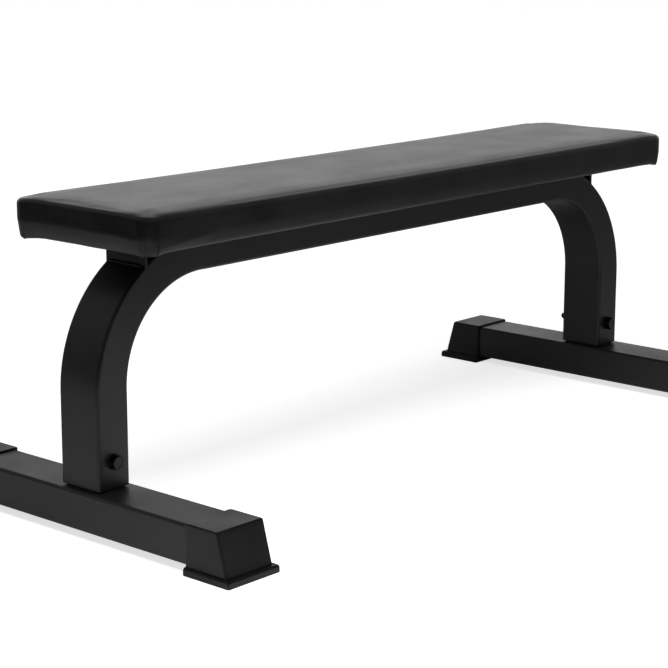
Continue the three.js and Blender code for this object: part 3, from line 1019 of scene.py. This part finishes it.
CORNER_CELLS = 8                # cells along half of a corner's arc
CELL = 6.2 * MM                 # cells along the straight stretches
BORDER = 40 * MM                # width of the border between the outline and the even grid inside it
EDGE_INSET = 14 * MM            # from here inwards the border is drawn towards that grid
SWELL_LIMIT = 0.8 * MM          # how far the foam may press the vinyl outwards


class PadPlan:
    """The pad seen from above: rings that follow its outline, round an even grid."""

    def __init__(self, low, high, corner):
        self.centre = (low + high) / 2
        self.half = Vector(((high.x - low.x) / 2, (high.y - low.y) / 2))
        self.corner = corner
        self.sides = [self.stations(self.half[axis]) for axis in (0, 1)]
        self.counts = [len(side) - 1 for side in self.sides]
        self.around = 2 * sum(self.counts)

    def stations(self, half):
        """Distances along one side of the outline from its middle, closer together round the corners."""
        straight = half - self.corner
        arc = self.corner * pi / 4
        cells = 2 * max(2, round(straight / CELL))
        ends = [straight + arc * (i + 1) / CORNER_CELLS for i in range(CORNER_CELLS)]
        middle = [straight * (2 * i / cells - 1) for i in range(cells + 1)]
        return [-e for e in ends[::-1]] + middle + ends

    def walk(self):
        """(side, station) of every point once round, anticlockwise from the front right corner."""
        for side in range(4):
            for s in self.sides[side % 2][:-1]:
                yield side, s

    def cells_round(self):
        """(row, column) in the even grid of every point of the ring that bounds it."""
        columns, rows = self.counts
        front = [(0, i) for i in range(columns)]
        end = [(i, columns) for i in range(rows)]
        back = [(rows, columns - i) for i in range(columns)]
        return front + end + back + [(rows - i, 0) for i in range(rows)]

    def on_outline(self, side, s, inset):
        """Point and outward direction at s along a side, inset from the outline."""
        along_half, out_half = self.half[side % 2], self.half[1 - side % 2]
        straight = along_half - self.corner
        radius = self.corner - inset
        if abs(s) <= straight:
            u, v, angle = s, out_half - inset, 0.0
        else:
            angle = (abs(s) - straight) / self.corner * math.copysign(1, s)
            u = math.copysign(straight, s) + radius * sin(angle)
            v = out_half - self.corner + radius * cos(angle)
        return self.turned(side, u, v), self.turned(side, sin(angle), cos(angle))

    def turned(self, side, u, v):
        """u along a side and v out of it, as X and Y: sides face -Y, +X, +Y and -X in turn."""
        return (Vector((u, -v)), Vector((v, u)), Vector((-u, v)), Vector((-v, -u)))[side]

    def on_border(self, side, s, share):
        """Point of the border, share of the way from EDGE_INSET to the even grid."""
        start, _ = self.on_outline(side, s, EDGE_INSET)
        reach = self.sides[side % 2][-1]
        along = (self.half[side % 2] - BORDER) * s / reach
        end = self.turned(side, along, self.half[1 - side % 2] - BORDER)
        return start.lerp(end, share)

    def at(self, side, s, inset):
        """Plan point at s along a side, inset from the outline."""
        if inset <= EDGE_INSET:
            return self.on_outline(side, s, inset)[0]
        return self.on_border(side, s, (inset - EDGE_INSET) / (BORDER - EDGE_INSET))

    def softness(self, side, s):
        """1 along the long sides and 0 along the ends, changing evenly round the corners."""
        turn = max(0.0, abs(s) - (self.half[side % 2] - self.corner)) / self.corner
        share = 0.5 + 0.5 * cos(2 * turn)
        return 1 - share if side % 2 else share

    def grid(self):
        """Plan points of the even grid, as rows along Y of points along X."""
        spans = []
        for axis in (0, 1):
            reach = self.sides[axis][-1]
            spans.append([(self.half[axis] - BORDER) * s / reach for s in self.sides[axis]])
        return [[Vector((x, y)) for x in spans[0]] for y in spans[1]]

    def from_corner(self, point):
        """How far a plan point is from the nearest corner of the pad's rectangle."""
        return (Vector((abs(point.x), abs(point.y))) - self.half).length


def skin(plan, rows, top=None, bottom=None):
    """Mesh through rings of points, closed above and below by even grids where those are given."""
    points = [point for row in rows for point in row]
    count = plan.around
    faces = []
    for first in range(0, (len(rows) - 1) * count, count):
        for i in range(count):
            j = (i + 1) % count
            faces.append((first + i, first + j, first + count + j, first + count + i))
    columns, lines = plan.counts
    for grid, first, upward in ((top, (len(rows) - 1) * count, True), (bottom, 0, False)):
        if grid is None:
            continue
        index = {cell: first + i for i, cell in enumerate(plan.cells_round())}
        for line in range(1, lines):
            for column in range(1, columns):
                index[line, column] = len(points)
                points.append(grid[line][column])
        for line in range(lines):
            for column in range(columns):
                quad = (index[line, column], index[line, column + 1],
                        index[line + 1, column + 1], index[line + 1, column])
                faces.append(quad if upward else quad[::-1])
    mesh = bpy.data.meshes.new("pad_form")
    mesh.from_pydata(points, [], faces)
    mesh.update()
    return mesh


def top_height(plan, point):
    """Height of the drawn top at a plan point: level in the middle and rolling off towards the edges."""
    over_side = max(0.0, 1 - (plan.half.y - abs(point.y)) / SIDE_ROLL_OFF)
    over_end = max(0.0, 1 - (plan.half.x - abs(point.x)) / END_ROLL_OFF)
    return pad_high.z - SIDE_DROP * over_side**2 - END_DROP * over_end**2


def cover_profile(plan, side, s):
    """(inset, height) of each ring of the vinyl at s along a side, from under the board to the top."""
    bottom = pad_low.z
    softness = plan.softness(side, s)
    radius = mix(END_RIM, SIDE_RIM, softness)
    pull_in = mix(PULL_IN_ENDS, PULL_IN_SIDES, softness)
    rings = [(LIP, bottom)]
    rings += [(inset * MM, bottom) for inset in (28, 24, 20.5, 17, 14, 11.5)]
    for angle in (15, 32, 48, 64, 78):
        turn = radians(angle)
        rings.append((pull_in + ROLL * (1 - sin(turn)), bottom + ROLL * (1 - cos(turn))))
    last = radius * (1 - cos(RIM_TURN))
    foot = rings[-1][1]
    shoulder = top_height(plan, plan.at(side, s, last)) - radius * sin(RIM_TURN)
    for step in range(1, 11):
        height = mix(foot, shoulder, step / 10)
        lean = max(0.0, 1 - (height - foot) / FOOT_TALL)
        rings.append((pull_in * lean**1.25, height))
    for step in range(1, 7):
        turn = step / 6 * RIM_TURN
        rings.append((radius * (1 - cos(turn)), shoulder + radius * sin(turn)))
    for share in (0.12, 0.26, 0.42, 0.6, 0.8, 1.0):
        inset = mix(last, BORDER, share)
        rings.append((inset, top_height(plan, plan.at(side, s, inset))))
    return rings


def swollen(mesh, plan):
    """Presses the vinyl outwards as the foam does, held by its lip, and returns where each point went.

    Only the outward part of each move is kept, so the corners stay as crisp as they were drawn.
    """
    before = [(vertex.co.copy(), vertex.normal.copy()) for vertex in mesh.vertices]
    piece = bpy.data.objects.new("cloth_work", mesh)
    scene.collection.objects.link(piece)
    held = piece.vertex_groups.new(name="held")
    held.add(list(range(HELD_RINGS * plan.around)), 1.0, "REPLACE")
    cloth = piece.modifiers.new("cloth", "CLOTH")
    settings = cloth.settings
    settings.quality = 5
    settings.mass = 0.4
    settings.tension_stiffness = 25
    settings.compression_stiffness = 25
    settings.shear_stiffness = 12
    settings.bending_stiffness = 8
    settings.vertex_group_mass = "held"
    settings.use_pressure = True
    settings.uniform_pressure_force = 4
    settings.effector_weights.gravity = 0
    cloth.collision_settings.use_self_collision = False
    for step in range(1, 21):
        scene.frame_set(step)
    moved = piece.evaluated_get(bpy.context.evaluated_depsgraph_get()).to_mesh()
    places = []
    for (start, outward), vertex in zip(before, moved.vertices):
        out = max(0.0, (vertex.co - start).dot(outward))
        places.append(start + outward * SWELL_LIMIT * math.tanh(out / SWELL_LIMIT))
    piece.modifiers.remove(cloth)
    bpy.data.objects.remove(piece)
    scene.frame_set(1)
    return places


def pleat(angle, fall):
    """How far a corner's folds stand out, angle from its middle, fading as fall goes from 0 to 1."""
    past = (abs(angle) - PLEAT_ANGLE) * PAD_CORNER
    ridge = math.exp(-((past / (1.5 * MM)) ** 2))
    groove = 0.8 * math.exp(-(((past + 3.0 * MM) / (1.6 * MM)) ** 2))
    gathers = 0.15 * cos(angle * 22)
    return (ridge - groove + gathers) * (1 - fall) * 1.3 * MM


def corner_angle(plan, side, s):
    """Angle of an outline point from the middle of its corner, or None on a straight stretch."""
    straight = plan.half[side % 2] - plan.corner
    if abs(s) < straight - 6 * MM:
        return None
    angle = (abs(s) - straight) / plan.corner
    return (angle - pi / 4) * (1 if s > 0 else -1)


def settle(plan, heights, places):
    """Adds what the foam and the stapling do: corners drawn down, folds, a little sag and unevenness."""
    bottom = pad_low.z
    walk = list(plan.walk())
    rows = []
    for number, line in enumerate(heights):
        row = []
        for i, (side, s) in enumerate(walk):
            inset, height = line[i]
            place = places[number * plan.around + i].copy()
            _, out = plan.on_outline(side, s, 0.0)
            angle = corner_angle(plan, side, s)
            if angle is not None:
                if height <= bottom:
                    place.z -= max(-0.2 * MM, pleat(angle, smooth(0, LIP, inset)))
                else:
                    fold = pleat(angle, smooth(0, PLEAT_TALL, height - bottom))
                    place.x += out.x * fold
                    place.y += out.y * fold
                    place.z -= max(0.0, fold) * (1 - smooth(0, 8 * MM, height - bottom))
            edge = (1 - smooth(0, FOOT_TALL, height - bottom)) * (1 - smooth(11 * MM, 18 * MM, inset))
            place.z -= edge * droop(plan, place)
            row.append(relaxed(plan, place))
        rows.append(row)
    first = len(heights) * plan.around
    columns, lines = plan.counts
    inside = {}
    for line in range(1, lines):
        for column in range(1, columns):
            inside[line, column] = relaxed(plan, places[first].copy())
            first += 1
    grid = [[inside.get((line, column)) for column in range(columns + 1)] for line in range(lines + 1)]
    return rows, grid


def droop(plan, place):
    """How far the turned-under vinyl hangs below the board at a point of its edge."""
    flat = Vector((place.x - plan.centre.x, place.y - plan.centre.y))
    across = END_DROOP * (1 - smooth(0, 32 * MM, plan.half.x - abs(flat.x)))
    corner = CORNER_DROOPS[1 if flat.y > 0 else -1]
    gathered = corner * (1 - smooth(12 * MM, 60 * MM, plan.from_corner(flat)))
    return across + gathered + 0.4 * MM * noise.noise(Vector((place.x * 28, place.y * 28, 3.1)))


def relaxed(plan, place):
    """Draws one point down along the middle, the more the higher it is, and in at the waist."""
    flat = Vector((place.x - plan.centre.x, place.y - plan.centre.y))
    share = smooth(0.25, 1.0, (place.z - pad_low.z) / (pad_high.z - pad_low.z))
    along, over = flat.x / plan.half.x, flat.y / plan.half.y
    place.z -= share * SAG * (1 - along * along)
    place.y -= over * WAIST_SIDES * (1 - along * along)
    place.x -= along**3 * WAIST_ENDS * (1 - over * over)
    slow = Vector((place.x * 7, place.y * 16, place.z * 12))
    place.z += share * 0.35 * MM * noise.noise(slow)
    place.y += over * 0.4 * MM * noise.noise(slow * 1.9) * (1 - share)
    return place


def make_pad(vinyl, foam):
    """The upholstery: a vinyl skin with its lip turned under, and the foam inside it."""
    plan = PadPlan(pad_low, pad_high, PAD_CORNER)
    walk = list(plan.walk())
    profiles = [cover_profile(plan, side, s) for side, s in walk]
    heights = list(zip(*profiles))
    centre = plan.centre
    rows = []
    for line in heights:
        flat = [plan.at(side, s, inset) for (side, s), (inset, _) in zip(walk, line)]
        rows.append([Vector((centre.x + p.x, centre.y + p.y, z)) for p, (_, z) in zip(flat, line)])
    grid = []
    for line in plan.grid():
        grid.append([Vector((centre.x + p.x, centre.y + p.y, top_height(plan, p))) for p in line])
    start = skin(plan, rows, top=grid)
    places = swollen(start, plan)
    bpy.data.meshes.remove(start)
    rows, grid = settle(plan, heights, places)
    top = max(point.z for line in grid for point in line if point)
    foot = pad_high.z - SIDE_DROP - SIDE_RIM
    lift = (pad_high.z - top) / (top - foot)
    for line in rows + grid:
        for point in line:
            if point and point.z > foot:
                point.z += (point.z - foot) * lift
    cover = shown("vinyl_cover", skin(plan, rows, top=grid), vinyl, "vinyl", "pad_cover", sharp=180)
    finer = cover.modifiers.new("finer", "SUBSURF")
    finer.levels = 1
    finer.render_levels = 1
    thick = cover.modifiers.new("vinyl", "SOLIDIFY")
    thick.thickness = VINYL
    thick.offset = -1
    make_foam(plan, rows, grid, heights, foam)


def make_foam(plan, rows, grid, heights, foam):
    """Foam slab that fills the vinyl above the board."""
    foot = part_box("foam_core")[0].z
    clear = VINYL + 0.5 * MM
    kept = [row for row, line in zip(rows, heights) if line[0][1] > foot + 1.5 * MM]
    middle = Vector((plan.centre.x, plan.centre.y, foot))

    def drawn_in(point):
        flat = Vector((point.x - middle.x, point.y - middle.y))
        short = Vector((flat.x * (1 - clear / plan.half.x), flat.y * (1 - clear / plan.half.y)))
        return Vector((middle.x + short.x, middle.y + short.y, point.z - clear))

    above = [[drawn_in(point) for point in row] for row in kept]
    base = [Vector((p.x, p.y, foot)) for p in above[0]]
    border = [plan.at(side, s, BORDER) for side, s in plan.walk()]
    inner = [Vector((middle.x + p.x, middle.y + p.y, foot)) for p in border]
    halfway = [a.lerp(b, 0.5) for a, b in zip(inner, base)]
    floor_grid = [[Vector((middle.x + p.x, middle.y + p.y, foot)) for p in line] for line in plan.grid()]
    ceiling = [[point and drawn_in(point) for point in line] for line in grid]
    mesh = skin(plan, [inner, halfway, base, *above], top=ceiling, bottom=floor_grid)
    piece = shown("foam_slab", mesh, foam, "foam", "foam_core", sharp=50)


def make_board(plywood):
    """The board keeps its CAD shape, with eased edges."""
    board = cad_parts["pad_board"]
    board.data.materials.clear()
    board.data.materials.append(plywood)
    weld = board.modifiers.new("weld", "WELD")
    weld.merge_threshold = 0.01 * MM
    soften(board, 0.8 * MM, angle=50)


# ---- underside: dust cover and staples -----------------------------------------------------------

def make_dust_cover(cloth):
    """Thin cloth stretched under the board, stapled over the vinyl's lip."""
    low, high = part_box("dust_cover")
    columns, lines = 176, 36
    bm = bmesh.new()
    thin = 0.35 * MM
    grid = []
    for line in range(lines + 1):
        row = []
        for column in range(columns + 1):
            x = mix(low.x, high.x, column / columns)
            y = mix(low.y, high.y, line / lines)
            edge = min(x - low.x, high.x - x, y - low.y, high.y - y)
            slack = smooth(0, 12 * MM, edge) * smooth(TUBE_WIDE / 2, TUBE_WIDE / 2 + 20 * MM, abs(y))
            droop = 0.5 * MM * slack * (0.5 + noise.noise(Vector((x * 18, y * 25, 0.7))))
            scallop = 0.18 * MM * (1 - smooth(0, 9 * MM, edge)) * sin((x + y) / STAPLE_STEP * pi) ** 2
            below = thin / 2 + 0.05 * MM + max(0.0, droop) + scallop
            row.append(bm.verts.new((x, y, high.z - below)))
        grid.append(row)
    for row, following in zip(grid, grid[1:]):
        for i in range(columns):
            bm.faces.new((row[i], row[i + 1], following[i + 1], following[i]))

    def add_thickness(block):
        thick = block.modifiers.new("thick", "SOLIDIFY")
        thick.thickness = thin
        thick.offset = 0

    holes = [pad_hole(end, side, high.z, DUST_HOLE) for end in ENDS for side in SIDES]
    mesh = cut(reshaped(to_mesh(bm, "dust_sheet"), add_thickness), holes)
    sheet = shown("dust_sheet", mesh, cloth, "dust_cloth", "dust_cover", sharp=60)


def staple(bm, x, y, z, turn):
    """One wire staple: a flat crown whose two ends bend up into the board."""
    half, wire = 5 * MM, 0.55 * MM
    along = Vector((cos(turn), sin(turn), 0))
    across = Vector((-sin(turn), cos(turn), 0))
    path = [along * -half + Vector((0, 0, 3 * MM)), along * -half + Vector((0, 0, 0.4 * MM)),
            along * (-half + 0.4 * MM), along * (half - 0.4 * MM), along * half + Vector((0, 0, 0.4 * MM)),
            along * half + Vector((0, 0, 3 * MM))]
    section = [(1, 0.6), (0.6, 1), (-0.6, 1), (-1, 0.6)]
    section += [(-u, -v) for u, v in section]
    rings = []
    for i, point in enumerate(path):
        ahead = (path[min(i + 1, len(path) - 1)] - path[max(i - 1, 0)]).normalized()
        thick = ahead.cross(across).normalized()
        centre = Vector((x, y, z)) + point
        rings.append([centre + (across * u * 1.25 + thick * v) * wire for u, v in section])
    capped(bm, rings)


def make_staples(zinc):
    low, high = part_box("dust_cover")
    inset = 5 * MM
    bm = bmesh.new()
    z = low.z - 0.15 * MM
    for axis in (0, 1):
        reach = (high[axis] - low[axis]) - 4 * inset
        count = round(reach / STAPLE_STEP)
        for i in range(count + 1):
            along = low[axis] + 2 * inset + reach * i / count
            for edge in (low[1 - axis] + inset, high[1 - axis] - inset):
                wander = 0.12 * noise.noise(Vector((along * 31, edge * 17, axis)))
                x, y = (along, edge) if axis == 0 else (edge, along)
                staple(bm, x, y, z, axis * pi / 2 + wander * 2)
    shown("staples", to_mesh(bm, "staples"), zinc, "bright_zinc", sharp=40)


# ---- the whole bench -----------------------------------------------------------------------------

def main():
    make_camera()
    make_studio()
    powder = powder_material()
    vinyl = vinyl_material()
    dark_zinc = zinc_material("black_zinc_plate", (0.020, 0.020, 0.021), (0.055, 0.055, 0.058), 0.30, 0.45)
    bright_zinc = zinc_material("bright_zinc_plate", (0.42, 0.43, 0.45), (0.62, 0.63, 0.66), 0.24, 0.42)
    make_frame(powder)
    make_feet(powder)
    make_caps(cap_material())
    make_brackets(powder)
    make_welds(powder)
    make_fasteners(dark_zinc, bright_zinc)
    make_pad(vinyl, foam_material())
    make_board(plywood_material())
    make_dust_cover(dust_material())
    make_staples(bright_zinc)


main()
